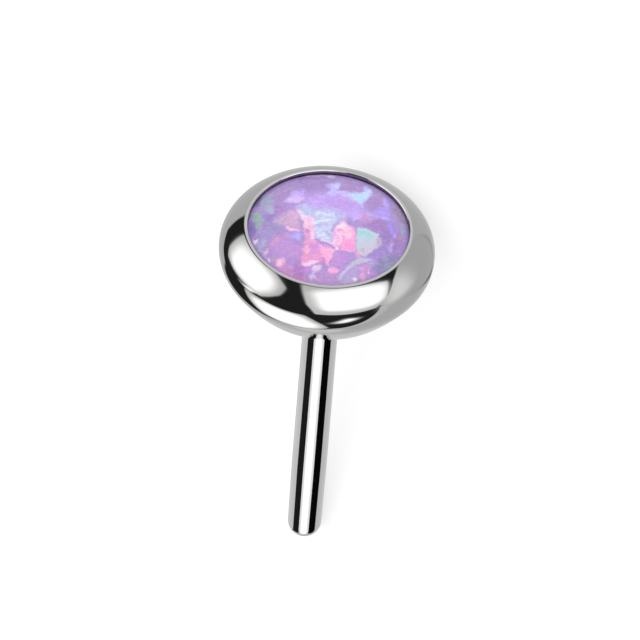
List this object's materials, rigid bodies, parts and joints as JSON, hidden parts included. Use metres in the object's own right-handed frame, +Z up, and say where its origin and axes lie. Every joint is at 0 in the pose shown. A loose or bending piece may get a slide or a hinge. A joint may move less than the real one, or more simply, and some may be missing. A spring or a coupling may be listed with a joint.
{
  "type": "threadless piercing top",
  "caption": "Threadless piercing top: a round polished bezel head holding a low opal cabochon, with a straight press-in pin behind it, lying on its side.",
  "frame": {"origin": "on the surface that the top lies on, under the centre of its box", "axes": "+Z up from that surface; +X along the pin's direction towards the head, whose axis rises from the surface at 13.29 degrees; the top is symmetric about the XZ plane"},
  "size_m": [0.0062, 0.003, 0.003],
  "materials": {
    "polished_titanium": "mirror-polished titanium, turned and buffed",
    "lavender_opal": "polished lab-grown opal with flashes of pink, mint and violet"
  },
  "bodies": {
    "root": {"bezel_setting": "polished_titanium", "opal_cabochon": "lavender_opal"}
  },
  "joints": []
}
